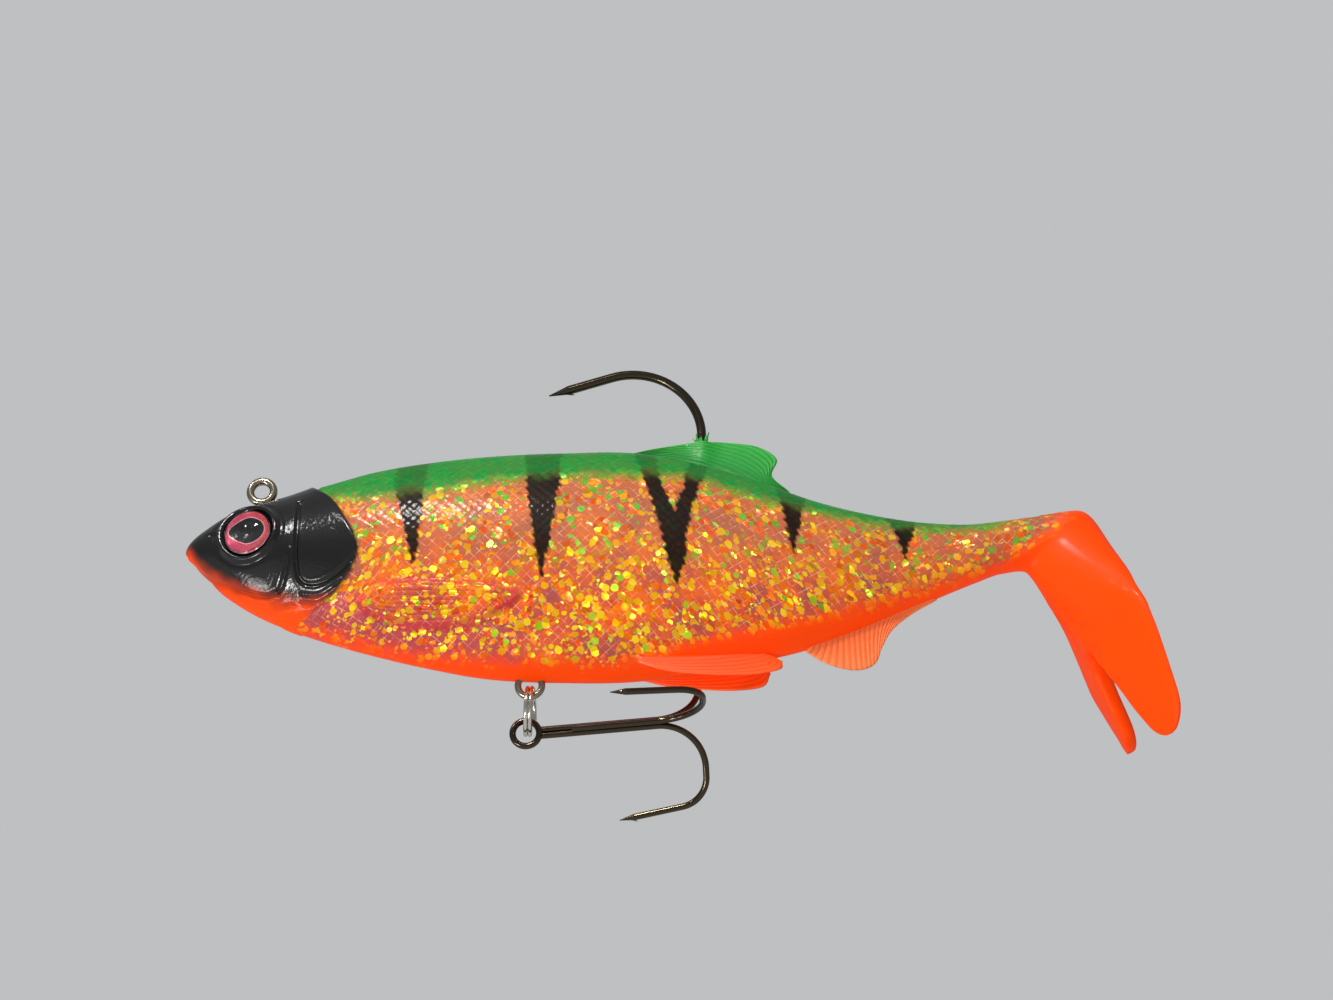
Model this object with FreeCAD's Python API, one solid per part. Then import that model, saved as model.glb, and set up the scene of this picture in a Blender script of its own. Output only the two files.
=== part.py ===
"""Soft-plastic paddle-tail swimbait with an internal jig head, a top hook and a belly treble.

Units are millimetres. The lure swims upright: -X is the nose, +X the tail, +Z the back, -Y the left
flank. The origin is the centre of the line-tie eye on top of the head.
"""

import FreeCAD
import Part
import math
import os

V = FreeCAD.Vector
SIDE_AXIS = V(0, 1, 0)
UP_AXIS = V(0, 0, 1)

# ---- driving dimensions -------------------------------------------------------------------------
NOSE_X = -12.8                           # tip of the snout
STEM_END_X = 146.0                       # where the tail stem is buried in the paddle
TOP_ROUNDNESS, BELLY_ROUNDNESS = 2.0, 1.72   # superellipse powers of the back and the belly
WIDEST_SHARE = 0.52                      # height of the widest line, as a share of body height
SECTION_POINTS = 20

# x, top z, bottom z, half width: the hull of the moulded fish, nose to tail
STATIONS = [
    (NOSE_X, -11.8, -12.8, 0.4),
    (-11.6, -9.9, -14.7, 2.2),
    (-9.0, -7.7, -17.3, 4.0),
    (-5.0, -5.1, -20.6, 6.1),
    (0.0, -3.2, -23.9, 7.7),
    (6.0, -1.5, -26.7, 9.0),
    (13.0, 0.7, -29.2, 9.9),
    (21.0, 3.2, -31.6, 10.5),
    (31.0, 5.1, -34.1, 11.0),
    (42.0, 6.4, -36.2, 11.2),
    (55.0, 7.1, -36.9, 11.0),
    (68.0, 7.1, -36.7, 10.6),
    (79.0, 5.0, -35.2, 9.9),
    (90.0, 1.6, -32.9, 8.8),
    (100.0, -2.3, -30.2, 7.7),
    (110.0, -5.0, -26.3, 6.5),
    (120.0, -6.6, -21.6, 5.3),
    (129.0, -6.8, -17.6, 4.5),
    (138.0, -5.6, -15.5, 4.1),
    (STEM_END_X, -4.6, -15.8, 3.8),
]

# flex lines of the soft body: hinge x, radius of the round knuckle, swing each way in degrees
BODY_FLEX = (98.5, 8.1, 12.0)
STEM_FLEX = (123.0, 5.2, 25.0)
TAIL_FLEX = (136.5, 4.15, 30.0)
KNUCKLE_GAP = 0.3
LIP_MARGIN = 0.4

# wires
TIE_WIRE_R, BELLY_WIRE_R = 0.72, 0.6
EYE_LOOP_R = 2.1                         # centreline radius of both wire eyes
TIE_LAND_R = 1.42                        # coined bore of the line-tie eye
BELLY_EYE = V(49.5, 0, -37.5)
JIG_WIRE_R = 0.85
JIG_SHANK_Z = -9.5
JIG_START_X = 3.2
JIG_POINT = V(51.7, 0, 19.6)

# split ring: two close coils round an axis along X
RING_R, RING_WIRE_R, RING_PITCH, RING_TURNS = 4.1, 0.36, 0.76, 1.96
RING_DROP = 0.68                         # how far the ring hangs below the belly eye's centre

# treble
TREBLE_WIRE_R = 0.575
TREBLE_EYE_R = 2.32
TREBLE_EYE_SLACK = 0.5                   # how far the eye's centre sits ahead of the ring's wire
TREBLE_PITCH = 5.2                       # degrees that the shank rises towards the tail
TREBLE_WIRE_OFF = 0.63                   # each wire's distance from the shank's axis
TREBLE_REACH = 15.2                      # bend's outermost wire centre from the shank's axis
TREBLE_BEND_S = 31.0                     # rearmost wire centre, from the eye's centre
TREBLE_POINT = (15.0, 16.7)              # point: along the shank, out from it
PAIR_ROLLS, SINGLE_ROLL = (-30.0, -150.0), 90.0

# eyes of the fish
EYE_CENTRE = V(-0.8, -7.9, -11.1)
EYE_R, EYE_RIM = 4.3, 0.25
IRIS_T, LENS_H = 0.5, 1.3
EYE_YAW, EYE_ROLL = 13.0, 4.0

# paddle: a wedge under the stem's end, then two lobes swept back from a leaning middle line
PADDLE_SWEEP, PADDLE_TWIST, PADDLE_T = 17.0, 12.0, 2.8
PADDLE_TOP, NOTCH = V(138.2, 0, -15.4), V(147.8, 0, -30.4)
# level z, front x, rear x, half width
PADDLE_ROOT = [
    (-4.4, 141.5, 148.6, 2.2),
    (-9.0, 138.2, 150.6, 4.4),
    (-15.0, 138.0, 152.6, 5.2),
    (-22.0, 142.6, 153.4, 4.6),
    (-30.2, 147.7, 152.6, 2.2),
]
# distance down the middle line, distance out from it
LOBE_EDGE = [
    (-4.0, 0.0), (-2.0, 4.4), (5.0, 8.0), (14.0, 11.4), (24.0, 13.0), (32.0, 12.4), (37.0, 9.4),
    (38.8, 6.2), (36.8, 3.6), (29.0, 1.6), (18.0, 0.0),
]


# ---- helpers ------------------------------------------------------------------------------------
def spline(points, closed=False):
    curve = Part.BSplineCurve()
    curve.interpolate(Points=points, PeriodicFlag=closed)
    return curve.toShape()


def section(x, top, bottom, half):
    """One closed cross-section of the body at x, blunter on the back than on the belly."""
    widest = bottom + WIDEST_SHARE * (top - bottom)
    points = []
    for i in range(SECTION_POINTS):
        t = 2 * math.pi * i / SECTION_POINTS
        c, s = math.cos(t), math.sin(t)
        power = 2 / (TOP_ROUNDNESS if s >= 0 else BELLY_ROUNDNESS)
        height = top - widest if s >= 0 else widest - bottom
        y = half * math.copysign(abs(c) ** power, c)
        z = widest + height * math.copysign(abs(s) ** power, s)
        points.append(V(x, y, z))
    return Part.Wire(spline(points, True))


def hull(swell=0.0):
    """The whole fish without fins or paddle, swollen sideways by swell."""
    wires = [section(x, top, bottom, half + swell) for x, top, bottom, half in STATIONS]
    return Part.makeLoft(wires, True, False)


def slab(x0, x1):
    return Part.makeBox(x1 - x0, 80, 120, V(x0, -40, -80))


def knuckle(x, radius):
    return Part.makeCylinder(radius, 120, V(x, 0, -80), UP_AXIS)


def lip(flex):
    """How far the part ahead of a flex line stops short of it, so that its edges clear the swing."""
    x, radius, swing = flex
    return x - radius * math.sin(math.radians(swing)) - LIP_MARGIN


def piece_between(whole, ahead, behind):
    """The stretch of the body from the knuckle at ahead to the socket for the knuckle at behind."""
    x1 = lip(behind) if behind else STEM_END_X + 1
    x0 = ahead[0] if ahead else NOSE_X - 1
    block = slab(x0, x1)
    if ahead:
        block = block.fuse(knuckle(ahead[0], ahead[1]))
    if behind:
        block = block.cut(knuckle(behind[0], behind[1] + KNUCKLE_GAP))
    return whole.common(block)


def outline(*runs):
    """A closed face in the XZ plane from runs of (x, z) points: two points are a line, more a curve."""
    edges = []
    for run in runs:
        points = [V(x, 0, z) for x, z in run]
        edges.append(Part.makeLine(*points) if len(points) == 2 else spline(points))
    return Part.Face(Part.Wire(edges))


def plate(face, y0, y1):
    return face.copy().translated(V(0, y0, 0)).extrude(V(0, y1 - y0, 0))


def tube(points, fillets, radius):
    """A round wire along straight runs joined by tangent arcs; fillets has one radius per corner."""
    edges, start = [], points[0]
    for i, fillet in enumerate(fillets, 1):
        corner = points[i]
        back = (points[i - 1] - corner).normalize()
        ahead = (points[i + 1] - corner).normalize()
        half_angle = back.getAngle(ahead) / 2
        reach = fillet / math.tan(half_angle)
        a, b = corner + back * reach, corner + ahead * reach
        bisector = (back + ahead).normalize()
        middle = corner + bisector * (fillet / math.sin(half_angle) - fillet)
        edges += [Part.makeLine(start, a), Part.Arc(a, middle, b).toShape()]
        start = b
    edges.append(Part.makeLine(start, points[-1]))
    ring = Part.Wire(Part.makeCircle(radius, points[0], points[1] - points[0]))
    return Part.Wire(edges).makePipeShell([ring], True, False)


def hook_point(tip, way, radius, inward):
    """A sharp cone that ends at tip, with a small barb raised on the inner side."""
    spear, sharp = 4.6 * radius, 0.12 * radius
    cone = Part.makeCone(radius, sharp, spear, tip - way * spear, way)
    root = tip - way * (spear * 0.72) + inward * (radius * 0.25)
    lean = (inward * 0.62 - way).normalize()
    barb = Part.makeCone(radius * 0.42, radius * 0.06, radius * 2.4, root, lean)
    return cone.fuse(barb)


def turned(shape, centre, axis, degrees):
    result = shape.copy()
    result.rotate(centre, axis, degrees)
    return result


def mirrored(shape):
    return shape.mirror(V(0, 0, 0), SIDE_AXIS)


# ---- metal rig ----------------------------------------------------------------------------------
def line_tie_wire():
    """The towing eye with a coined bore, on a leg that runs down into the lead."""
    eye = Part.makeTorus(EYE_LOOP_R, TIE_WIRE_R, V(0, 0, 0), SIDE_AXIS)
    leg = Part.makeCylinder(TIE_WIRE_R, 13, V(0, 0, -EYE_LOOP_R - 13), UP_AXIS)
    land = Part.makeCylinder(TIE_LAND_R, 4, V(0, -2, 0), SIDE_AXIS)
    return eye.fuse(leg).cut(land)


def belly_wire():
    """Runs back from the lead and down to the eye that carries the split ring."""
    eye = Part.makeTorus(EYE_LOOP_R, BELLY_WIRE_R, BELLY_EYE, SIDE_AXIS)
    route = [
        V(6.0, 0, -15.5),
        V(BELLY_EYE.x - 6.0, 0, -20.0),
        V(BELLY_EYE.x, 0, BELLY_EYE.z + EYE_LOOP_R),
    ]
    return eye.fuse(tube(route, [6.0], BELLY_WIRE_R))


def jig_hook():
    """Shank buried in the body, bend above the back, point facing the nose."""
    corner = V(79.9, 0, 28.8)
    way = (JIG_POINT - corner).normalize()
    route = [
        V(JIG_START_X, 0, JIG_SHANK_Z),
        V(corner.x, 0, JIG_SHANK_Z),
        corner,
        JIG_POINT - way * (4.6 * JIG_WIRE_R),
    ]
    inward = V(way.z, 0, -way.x)
    if inward.z > 0:
        inward = inward * -1
    bend = tube(route, [8.5, 12.7], JIG_WIRE_R)
    return bend.fuse(hook_point(JIG_POINT, way, JIG_WIRE_R, inward))


def lead_head():
    """Blunt egg of ballast cast round both wires and the shank, inside the fish's head."""
    side = [(-5.5, 1.2), (-3.8, 4.2), (3.0, 5.9), (9.5, 5.1), (15.2, 2.6), (16.6, 1.2)]
    back, front = side[-1][0], side[0][0]
    rim = [V(back, 0, side[-1][1]), V(back, 0, 0), V(front, 0, 0), V(front, 0, side[0][1])]
    edges = [spline([V(x, 0, r) for x, r in side])]
    edges += [Part.makeLine(a, b) for a, b in zip(rim, rim[1:])]
    egg = Part.Face(Part.Wire(edges)).revolve(V(0, 0, 0), V(1, 0, 0), 360)
    return egg.translated(V(0, 0, -13.0))


def ring_axis_point():
    return BELLY_EYE - UP_AXIS * RING_DROP


def treble_pivot():
    return ring_axis_point() - UP_AXIS * (2 * RING_R)


def split_ring():
    """Two close coils of round wire, hung in the belly eye, in the plane across the body."""
    top = ring_axis_point()
    steps = round(RING_TURNS * 24)
    points = []
    for i in range(steps + 1):
        turn = 2 * math.pi * RING_TURNS * i / steps + 1.9
        x = RING_PITCH * RING_TURNS * (i / steps - 0.5)
        points.append(top + V(x, RING_R * math.sin(turn), RING_R * (math.cos(turn) - 1)))
    profile = Part.Wire(Part.makeCircle(RING_WIRE_R, points[0], points[1] - points[0]))
    return Part.Wire(spline(points)).makePipeShell([profile], True, True)


def treble_frame(shape, roll):
    """Places a hook bent in the plane of (shank = X, outward = -Z) at its roll and trailing pose."""
    eye = treble_pivot() + V(-TREBLE_EYE_SLACK, 0, 0)
    placed = turned(shape, V(0, 0, 0), V(1, 0, 0), -roll)
    placed = turned(placed, V(0, 0, 0), SIDE_AXIS, -TREBLE_PITCH)
    placed.translate(eye)
    return placed


def treble_arm(start_s):
    """One arm of the treble with its bend and point, shank along X, bend towards -Z."""
    point_s, point_h = TREBLE_POINT
    bend_h = TREBLE_REACH
    route = [
        V(start_s, 0, -TREBLE_WIRE_OFF),
        V(TREBLE_BEND_S, 0, -TREBLE_WIRE_OFF),
        V(TREBLE_BEND_S - 0.4, 0, -bend_h + 0.5),
        V(point_s, 0, -point_h),
    ]
    tip = route[3]
    way = (tip - route[2]).normalize()
    route[3] = tip - way * (4.6 * TREBLE_WIRE_R)
    arm = tube(route, [7.9, 5.2], TREBLE_WIRE_R)
    return arm.fuse(hook_point(tip, way, TREBLE_WIRE_R, V(way.z, 0, -way.x) * -1))


def treble_pair():
    """The two arms bent from one wire, whose middle makes the treble's eye."""
    arms = [treble_frame(treble_arm(TREBLE_EYE_R), roll) for roll in PAIR_ROLLS]
    eye = treble_frame(Part.makeTorus(TREBLE_EYE_R, TREBLE_WIRE_R, V(0, 0, 0), SIDE_AXIS), 0)
    return arms[0].fuse([arms[1], eye])


# ---- soft body ----------------------------------------------------------------------------------
def dorsal_fin(body):
    face = outline(
        [(65.5, 6.6), (70.0, 8.2), (75.0, 9.3), (80.0, 10.0), (86.0, 9.8), (91.0, 8.8), (93.7, 6.6)],
        [(93.7, 6.6), (92.7, 4.9), (92.8, 3.0), (94.6, 0.8), (95.6, 0.1)],
        [(95.6, 0.1), (90.0, 2.0)],
        [(90.0, 2.0), (89.8, 1.2)],
        [(89.8, 1.2), (79.0, 3.0), (65.5, 6.6)],
    )
    clear = knuckle(BODY_FLEX[0], BODY_FLEX[1] + KNUCKLE_GAP).common(body.translated(V(0, 0, 0.35)))
    return plate(face, -1.55, 1.55).cut(body).cut(clear)


def anal_fin(body):
    face = outline(
        [(102.0, -28.6), (101.4, -31.6), (105.6, -34.5), (108.6, -34.4), (110.4, -33.4)],
        [(110.4, -33.4), (111.2, -31.0), (112.4, -28.7), (115.6, -25.8), (121.0, -21.6)],
        [(121.0, -21.6), (111.0, -24.0), (102.0, -28.6)],
    )
    return plate(face, -0.7, 0.7).cut(body).cut(knuckle(STEM_FLEX[0], STEM_FLEX[1] + KNUCKLE_GAP))


def pelvic_fin(body, side):
    """One fin of the low pair; side is -1 for the left."""
    face = outline(
        [(67.0, -35.0), (72.0, -36.6), (80.0, -36.9), (88.0, -36.8), (91.8, -35.6)],
        [(91.8, -35.6), (92.2, -34.6), (91.6, -33.0)],
        [(91.6, -33.0), (82.0, -31.5), (67.0, -35.0)],
    )
    fin = plate(face, side * 1.8, side * 2.8)
    return fin.cut(body).cut(knuckle(BODY_FLEX[0], BODY_FLEX[1] + KNUCKLE_GAP))


def pectoral_fin(body, side):
    """A low ribbed leaf that follows the flank; side is -1 for the left."""
    face = outline(
        [(18.8, -26.0), (22.0, -23.4), (30.0, -21.8), (39.0, -22.2), (47.2, -24.6)],
        [(47.2, -24.6), (42.0, -28.0), (32.0, -30.4), (23.0, -29.6), (18.8, -26.0)],
    )
    return plate(face, side * 3.0, side * 14.0).common(hull(0.8)).cut(body)


def paddle_root():
    """The thick wedge behind the stem, lofted downwards through level sections."""
    wires = []
    for z, front, rear, half in PADDLE_ROOT:
        points = []
        for i in range(SECTION_POINTS):
            t = 2 * math.pi * i / SECTION_POINTS
            points.append(V((front + rear) / 2 + (rear - front) / 2 * math.cos(t), half * math.sin(t), z))
        wires.append(Part.Wire(spline(points, True)))
    return Part.makeLoft(wires, True, False)


def lobe(swept):
    """One blade of the paddle, hinged outwards from the leaning middle line by swept degrees."""
    edge = [V(out, 0, -down) for down, out in LOBE_EDGE]
    face = Part.Face(Part.Wire([spline(edge), Part.makeLine(edge[-1], edge[0])]))
    blade = face.extrude(V(0, PADDLE_T, 0))
    lean = math.degrees(math.atan2(NOTCH.x - PADDLE_TOP.x, PADDLE_TOP.z - NOTCH.z))
    blade = turned(blade, V(0, 0, 0), UP_AXIS, swept - 90)
    blade = turned(blade, V(0, 0, 0), SIDE_AXIS, -lean)
    return blade.translated(PADDLE_TOP)


def paddle(body):
    """Stem end, wedge and two lobes with a notch between them."""
    block = slab(TAIL_FLEX[0], STEM_END_X + 1).fuse(knuckle(TAIL_FLEX[0], TAIL_FLEX[1]))
    left = lobe(PADDLE_SWEEP + PADDLE_TWIST)
    right = mirrored(lobe(PADDLE_SWEEP - PADDLE_TWIST))
    return body.common(block).fuse([paddle_root(), left, right])


def fish_eye():
    """Printed iris disc and its clear dome, as (iris, lens) on the left side."""
    iris = Part.makeCylinder(EYE_R, IRIS_T, V(0, 0, 0), SIDE_AXIS * -1)
    dome_r = (EYE_R ** 2 + LENS_H ** 2) / (2 * LENS_H)
    ball = Part.makeSphere(dome_r, V(0, dome_r - LENS_H - IRIS_T, 0))
    lens = ball.common(Part.makeCylinder(EYE_R, LENS_H + 1, V(0, -IRIS_T, 0), SIDE_AXIS * -1))
    socket = Part.makeCylinder(EYE_R + EYE_RIM, 12, V(0, 0, 0), SIDE_AXIS * -1)
    placed = []
    for shape in (iris, lens, socket):
        shape = turned(shape, V(0, 0, 0), UP_AXIS, EYE_YAW * -1)
        shape = turned(shape, V(0, 0, 0), V(1, 0, 0), EYE_ROLL * -1)
        placed.append(shape.translated(V(EYE_CENTRE.x, EYE_CENTRE.y + 1.6, EYE_CENTRE.z)))
    return placed


# ---- assembly -----------------------------------------------------------------------------------
def build():
    whole = hull()
    tie, belly, hook, ring = line_tie_wire(), belly_wire(), jig_hook(), split_ring()
    lead = lead_head().cut(tie.fuse([belly, hook]))
    pair = treble_pair()
    single = treble_frame(treble_arm(8.0), SINGLE_ROLL).cut(pair)
    iris, lens, socket = fish_eye()

    front = piece_between(whole, None, BODY_FLEX)
    front = front.cut(lead_head().fuse([tie, belly, hook])).cut(socket).cut(mirrored(socket))
    rear = piece_between(whole, BODY_FLEX, STEM_FLEX)
    stem = piece_between(whole, STEM_FLEX, TAIL_FLEX)
    return {
        "body_front": front,
        "body_rear": rear,
        "tail_stem": stem,
        "paddle_tail": paddle(whole),
        "dorsal_fin": dorsal_fin(whole).cut(hook),
        "anal_fin": anal_fin(whole),
        "pectoral_fin_left": pectoral_fin(whole, -1),
        "pectoral_fin_right": pectoral_fin(whole, 1),
        "pelvic_fin_left": pelvic_fin(whole, -1),
        "pelvic_fin_right": pelvic_fin(whole, 1),
        "lead_head": lead,
        "line_tie_wire": tie,
        "belly_wire": belly,
        "jig_hook": hook,
        "iris_left": iris,
        "iris_right": mirrored(iris),
        "eye_lens_left": lens,
        "eye_lens_right": mirrored(lens),
        "split_ring": ring,
        "treble_pair": pair,
        "treble_single": single,
    }


os.makedirs("parts", exist_ok=True)
for name, shape in build().items():
    solids = [s for s in shape.Solids if s.Volume > 0.02]
    kept = solids[0] if len(solids) == 1 else Part.makeCompound(solids)
    box = kept.BoundBox
    print(f"{name:20s} solids {len(solids)} valid {kept.isValid()} volume {kept.Volume:9.2f}"
          f"  x {box.XMin:.1f}..{box.XMax:.1f} y {box.YMin:.1f}..{box.YMax:.1f}"
          f" z {box.ZMin:.1f}..{box.ZMax:.1f}")
    kept.exportStep(f"parts/{name}.step")
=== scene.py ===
"""Looks of the soft paddle-tail swimbait. Sizes in the functions are millimetres in the row frame."""

import math

import bmesh
import bpy
import numpy as np
from mathutils import Matrix, Vector


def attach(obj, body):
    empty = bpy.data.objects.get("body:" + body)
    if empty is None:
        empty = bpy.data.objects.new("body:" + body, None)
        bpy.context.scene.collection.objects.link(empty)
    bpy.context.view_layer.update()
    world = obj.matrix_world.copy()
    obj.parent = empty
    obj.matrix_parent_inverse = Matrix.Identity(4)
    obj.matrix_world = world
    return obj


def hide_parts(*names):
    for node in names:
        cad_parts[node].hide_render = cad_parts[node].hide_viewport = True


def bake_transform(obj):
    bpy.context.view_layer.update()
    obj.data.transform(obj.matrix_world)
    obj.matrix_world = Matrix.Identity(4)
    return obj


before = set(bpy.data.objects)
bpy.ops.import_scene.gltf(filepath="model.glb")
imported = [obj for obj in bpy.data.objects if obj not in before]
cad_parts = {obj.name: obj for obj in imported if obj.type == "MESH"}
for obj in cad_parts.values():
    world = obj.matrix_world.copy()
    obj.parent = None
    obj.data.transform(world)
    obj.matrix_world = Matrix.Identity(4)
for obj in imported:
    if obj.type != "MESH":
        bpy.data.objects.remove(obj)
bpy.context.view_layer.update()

MM = 0.001

# ---- hull ---------------------------------------------------------------------------------------
NOSE_X, NOSE_Z = -12.8, -12.3
# x, top z, bottom z, half width
STATIONS = np.array([
    (-11.6, -9.9, -14.7, 2.2),
    (-9.0, -7.7, -17.3, 4.0),
    (-5.0, -5.1, -20.6, 6.1),
    (0.0, -3.2, -23.9, 7.7),
    (6.0, -1.5, -26.7, 9.0),
    (13.0, 0.7, -29.2, 9.9),
    (21.0, 3.2, -31.6, 10.5),
    (31.0, 5.1, -34.1, 11.0),
    (42.0, 6.4, -36.2, 11.2),
    (55.0, 7.1, -36.9, 11.0),
    (68.0, 7.1, -36.7, 10.6),
    (79.0, 5.0, -35.2, 9.9),
    (90.0, 1.6, -32.9, 8.8),
    (100.0, -2.3, -30.2, 7.7),
    (110.0, -5.0, -26.3, 6.5),
    (120.0, -6.6, -21.6, 5.3),
    (129.0, -6.8, -17.6, 4.5),
    (133.25, -6.25, -15.95, 4.3),
    (138.0, -5.6, -15.5, 4.1),
])
STEP = 0.28                      # spacing of the skin's mesh
HOOK_EXIT = (79.9, 0.0, 9.9)
HALF_COLUMNS = 176               # columns from the back's ridge to the belly's keel
SEAM_REAR, SEAM_TAIL = 110.0, 133.25
SCALE_PITCH = 1.85


def curve(xs, ys, x):
    """Smooth interpolation through (xs, ys) at x."""
    xs, ys = np.asarray(xs, float), np.asarray(ys, float)
    h = np.diff(xs)
    d = np.diff(ys, axis=0) / (h if ys.ndim == 1 else h[:, None])
    m = np.empty_like(ys)
    m[0], m[-1] = d[0], d[-1]
    hl, hr = (h[:-1], h[1:]) if ys.ndim == 1 else (h[:-1, None], h[1:, None])
    m[1:-1] = (hr * d[:-1] + hl * d[1:]) / (hl + hr)
    i = np.clip(np.searchsorted(xs, x) - 1, 0, len(h) - 1)
    t, w = (x - xs[i]) / h[i], h[i]
    if ys.ndim > 1:
        t, w = t[:, None], w[:, None]
    return ((2 * t ** 3 - 3 * t ** 2 + 1) * ys[i] + (t ** 3 - 2 * t ** 2 + t) * w * m[i]
            + (3 * t ** 2 - 2 * t ** 3) * ys[i + 1] + (t ** 3 - t ** 2) * w * m[i + 1])


def step(x, low, high):
    """0 below low, 1 above high, smooth between; low may be the larger."""
    t = np.clip((x - low) / (high - low), 0, 1)
    return t * t * (3 - 2 * t)


def profile(x):
    """Top z, bottom z and half width of the hull at x, rounded at the snout."""
    u = np.sqrt(np.maximum(x - NOSE_X, 0))
    us = np.concatenate([[0], np.sqrt(STATIONS[:, 0] - NOSE_X)])
    rows = np.vstack([[NOSE_Z, NOSE_Z, 0], STATIONS[:, 1:]])
    return curve(us, rows, u).T


def hull_rows(xs):
    """Half-girth points (x, |y|, z) for each x, evenly spaced by arc, and the arc from the ridge."""
    top, bottom, half = profile(xs)
    round_off = step(xs, 112, 131)
    power = 1.72 + 0.28 * round_off
    share = 0.52 - 0.02 * round_off
    widest = bottom + share * (top - bottom)
    t = np.linspace(0, math.pi, 361)
    c, s = np.cos(t)[None, :], np.sin(t)[None, :]
    p = np.where(c >= 0, 2.0, power[:, None])
    height = np.where(c >= 0, (top - widest)[:, None], (widest - bottom)[:, None])
    y = half[:, None] * np.abs(s) ** (2 / p)
    z = widest[:, None] + height * np.sign(c) * np.abs(c) ** (2 / p)
    arc = np.concatenate([np.zeros((len(xs), 1)), np.cumsum(np.hypot(np.diff(y), np.diff(z)), axis=1)], 1)
    f = np.linspace(0, 1, HALF_COLUMNS + 1)
    rows = np.empty((len(xs), HALF_COLUMNS + 1, 3))
    girth = np.empty((len(xs), HALF_COLUMNS + 1))
    for k in range(len(xs)):
        a = f * arc[k, -1]
        rows[k, :, 0] = xs[k]
        rows[k, :, 1] = np.interp(a, arc[k], y[k])
        rows[k, :, 2] = np.interp(a, arc[k], z[k])
        girth[k] = a
    return rows, girth


def normals(points):
    """Outward unit normals of a grid that is closed round its second axis."""
    along = np.gradient(points, axis=0)
    around = np.roll(points, -1, 1) - np.roll(points, 1, 1)
    n = np.cross(around, along)
    return n / np.maximum(np.linalg.norm(n, axis=2, keepdims=True), 1e-9)


# ---- relief and paint of the skin, as functions of side-view position ---------------------------
EYE = (-0.8, -11.1)
GILL_EDGE_Z = [-34, -30, -27.6, -25.7, -23.7, -21.5, -18.6, -16.0, -14.2, -9.6, -4.4, -1.9, 2, 8]
GILL_EDGE_X = [3.5, 5.0, 8.0, 10.9, 14.5, 16.8, 18.5, 19.3, 19.0, 16.7, 13.3, 10.6, 9.6, 9.4]
GILL_FRONT = [(8.2, -5.6), (8.2, -10), (8.3, -15), (8.5, -18.4), (9.1, -20.4), (10.6, -21.4),
              (13.2, -21.2), (16.3, -19.6), (19.1, -16.7)]
CHEEK_LINE = [(7.2, -15.2), (6.8, -17.6), (6.2, -20.2), (5.3, -22.4)]
JAW_LINE = [(-12.4, -12.9), (-11.2, -15.0), (-9.2, -17.0), (-6.4, -18.9), (-1.5, -21.3), (2.7, -22.7),
            (5.1, -22.2)]
CHIN_LINE = [(-5.5, -21.0), (-2.0, -23.2), (2.5, -25.2), (7.0, -26.2), (11.0, -25.8)]
THROAT_LINE = [(1.5, -23.9), (4.6, -24.6), (8.0, -24.4)]
GILL_RAYS = [
    [(9.4, -22.9), (12.6, -23.1), (16.6, -21.2)],
    [(9.6, -24.2), (12.4, -24.4), (15.6, -22.8)],
]
BLACK_EDGE_X = [-13, -12.3, -9.2, -5.8, -1.0, 3.6, 8.2, 12.7, 20]
BLACK_EDGE_Z = [-12.0, -12.4, -16.0, -18.6, -21.0, -22.8, -24.0, -24.4, -22.0]
BACK_EDGE_X = [8, 13.7, 26, 36, 44, 62, 79, 90, 101, 115, 133, 150]
BACK_EDGE_Z = [-3.0, -4.6, -4.9, -3.2, -1.8, -0.7, -0.9, -4.6, -6.7, -9.3, -8.4, -6.0]
BELLY_EDGE_X = [2, 14, 24, 35, 55, 69, 79, 90, 106, 124, 137, 150]
BELLY_EDGE_Z = [-26.0, -29.0, -31.6, -33.6, -34.6, -34.2, -31.2, -28.8, -24.9, -18.6, -13.0, -4.0]
PECTORAL_X = [19.0, 22.0, 26.0, 31.0, 36.5, 42.0, 46.0, 48.2]
PECTORAL_TOP = [-24.6, -22.3, -21.6, -21.4, -21.7, -22.4, -23.3, -24.2]
PECTORAL_LOW = [-24.8, -26.9, -28.3, -29.1, -29.1, -27.9, -26.0, -24.4]
# each bar: z, left x, right x
BARS = [
    [(9, 24.6, 30.6), (-3, 25.1, 30.4), (-7, 26.2, 30.3), (-11, 27.0, 30.2), (-15, 27.9, 29.9),
     (-19, 28.9, 29.3)],
    [(9, 47.6, 54.8), (2.9, 48.0, 54.4), (-3, 48.7, 54.4), (-8, 49.2, 53.8), (-14.5, 50.1, 53.0),
     (-18, 50.9, 52.3), (-21, 51.5, 51.8)],
    [(9, 66.8, 70.8), (3.6, 68.1, 71.6), (-2, 69.4, 72.6), (-8, 71.2, 74.9), (-12, 72.2, 77.0),
     (-16, 73.3, 77.0), (-19, 74.2, 76.4), (-22, 75.1, 75.4)],
    [(9, 77.6, 82.6), (3.0, 77.4, 81.0), (-3, 76.4, 79.2), (-8, 74.8, 77.9), (-12, 73.4, 77.2),
     (-15, 74.4, 76.6)],
    [(4, 92.6, 99.6), (-3, 93.4, 98.3), (-9, 94.4, 97.3), (-13, 95.2, 96.5), (-15.6, 95.8, 96.0)],
    [(-2, 112.0, 119.4), (-7, 113.0, 118.3), (-10.8, 114.3, 117.3), (-13, 115.0, 116.6),
     (-15.6, 115.6, 115.8)],
]


def ripple(x, z):
    """A smooth wandering value between about -1 and 1."""
    return (np.sin(1.9 * x + 0.7 * z) + np.sin(3.1 * z - 1.3 * x + 1.0) + np.sin(4.7 * x + 3.9 * z + 2.0)) / 3


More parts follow.
